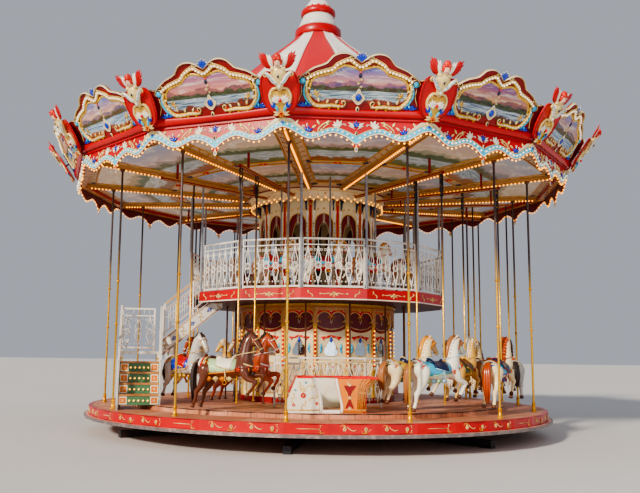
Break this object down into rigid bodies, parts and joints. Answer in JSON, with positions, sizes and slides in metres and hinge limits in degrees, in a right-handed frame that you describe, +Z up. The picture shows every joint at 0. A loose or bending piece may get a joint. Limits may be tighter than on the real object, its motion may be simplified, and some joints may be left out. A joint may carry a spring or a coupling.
{
  "type": "double-deck fairground carousel",
  "caption": "Double-deck fairground carousel with a scalloped canopy, leaning crown boards, striped tent roof, stair, chariots and jumping horses on poles.",
  "frame": {"origin": "centre of the ground frame's underside, on the ground", "axes": "+Z up, -Y towards the front of the picture, +X to its right"},
  "size_m": [13.4812, 13.4934, 11.95],
  "materials": {
    "steel": "satin dark grey paint on the frames",
    "planks": "worn painted deck boards",
    "red": "gloss red paint",
    "lip": "faded pink tread paint",
    "cream": "cream painted joinery",
    "white": "white painted ironwork",
    "tan": "varnished tan wood",
    "soffit": "dark purple-brown paint",
    "picture": "painted boards",
    "tent": "coated canvas in red and white gores",
    "hide": "lacquered glass-fibre animals",
    "brass": "polished brass sleeves",
    "gold": "gold paint",
    "blue": "royal blue paint",
    "turquoise": "turquoise paint",
    "bulb": "frosted warm bulbs",
    "mirror": "silvered mirror"
  },
  "bodies": {
    "base": {"base_frame": "steel", "centre_mast": "steel"},
    "turntable": {"deck_frame": "steel", "platform_lip": "lip", "platform_skirt": "red", "outer_deck": "planks", "main_deck": "planks", "lower_drum": "cream", "upper_deck": "planks", "upper_deck_frame": "steel", "upper_soffit": "soffit", "upper_fascia": "red", "upper_railing_front": "white", "upper_railing_rear": "white", "upper_drum": "cream", "inner_cornice": "cream", "radial_frame_01": "tan", "radial_frame_02": "tan", "radial_frame_03": "tan", "radial_frame_04": "tan", "radial_frame_05": "tan", "radial_frame_06": "tan", "radial_frame_07": "tan", "radial_frame_08": "tan", "radial_frame_09": "tan", "radial_frame_10": "tan", "radial_frame_11": "tan", "radial_frame_12": "tan", "radial_frame_13": "tan", "radial_frame_14": "tan", "ceiling": "picture", "canopy_cornice": "red", "valance": "cream", "crown_boards": "picture", "crown_shields": "red", "tent_roof": "tent", "roof_lantern": "white", "stair_lower_flight": "white", "stair_landing": "white", "stair_upper_flight": "white", "stair_landing_rail": "white", "stair_rail_near": "white", "deck_railing": "white", "chariot_front": "white", "chariot_rear": "white", "crank_beam_14": "steel", "crank_beam_02": "steel", "crank_beam_03": "steel", "horse_pair_13": "hide", "horse_pair_04": "hide", "horse_pair_05": "hide", "horse_pair_09": "hide", "horse_pair_10": "hide", "upper_horse_01": "hide"},
    "horse_14_outer_body": {"horse_14_outer": "hide"},
    "horse_14_inner_body": {"horse_14_inner": "hide"},
    "horse_02_outer_body": {"horse_02_outer": "hide"},
    "horse_02_inner_body": {"horse_02_inner": "hide"},
    "horse_03_outer_body": {"horse_03_outer": "hide"},
    "horse_03_inner_body": {"horse_03_inner": "hide"}
  },
  "joints": [
    {"name": "turntable_spin", "type": "hinge", "parent": "base", "child": "turntable", "pos_m": [0, 0, 0.3], "axis": [0, 0, 1], "continuous": true},
    {"name": "horse_14_outer_rise", "type": "slide", "parent": "turntable", "child": "horse_14_outer_body", "axis": [0, 0, 1], "range_m": [-0.15, 0.15]},
    {"name": "horse_14_inner_rise", "type": "slide", "parent": "turntable", "child": "horse_14_inner_body", "axis": [0, 0, 1], "range_m": [-0.15, 0.15]},
    {"name": "horse_02_outer_rise", "type": "slide", "parent": "turntable", "child": "horse_02_outer_body", "axis": [0, 0, 1], "range_m": [-0.15, 0.15]},
    {"name": "horse_02_inner_rise", "type": "slide", "parent": "turntable", "child": "horse_02_inner_body", "axis": [0, 0, 1], "range_m": [-0.15, 0.15]},
    {"name": "horse_03_outer_rise", "type": "slide", "parent": "turntable", "child": "horse_03_outer_body", "axis": [0, 0, 1], "range_m": [-0.15, 0.15]},
    {"name": "horse_03_inner_rise", "type": "slide", "parent": "turntable", "child": "horse_03_inner_body", "axis": [0, 0, 1], "range_m": [-0.15, 0.15]}
  ],
  "couplings": [
    {"joint": "horse_14_inner_rise", "follows": "horse_14_outer_rise", "ratio": -1},
    {"joint": "horse_02_outer_rise", "follows": "horse_14_outer_rise", "ratio": 1},
    {"joint": "horse_02_inner_rise", "follows": "horse_14_outer_rise", "ratio": -1},
    {"joint": "horse_03_outer_rise", "follows": "horse_14_outer_rise", "ratio": 1},
    {"joint": "horse_03_inner_rise", "follows": "horse_14_outer_rise", "ratio": -1}
  ]
}
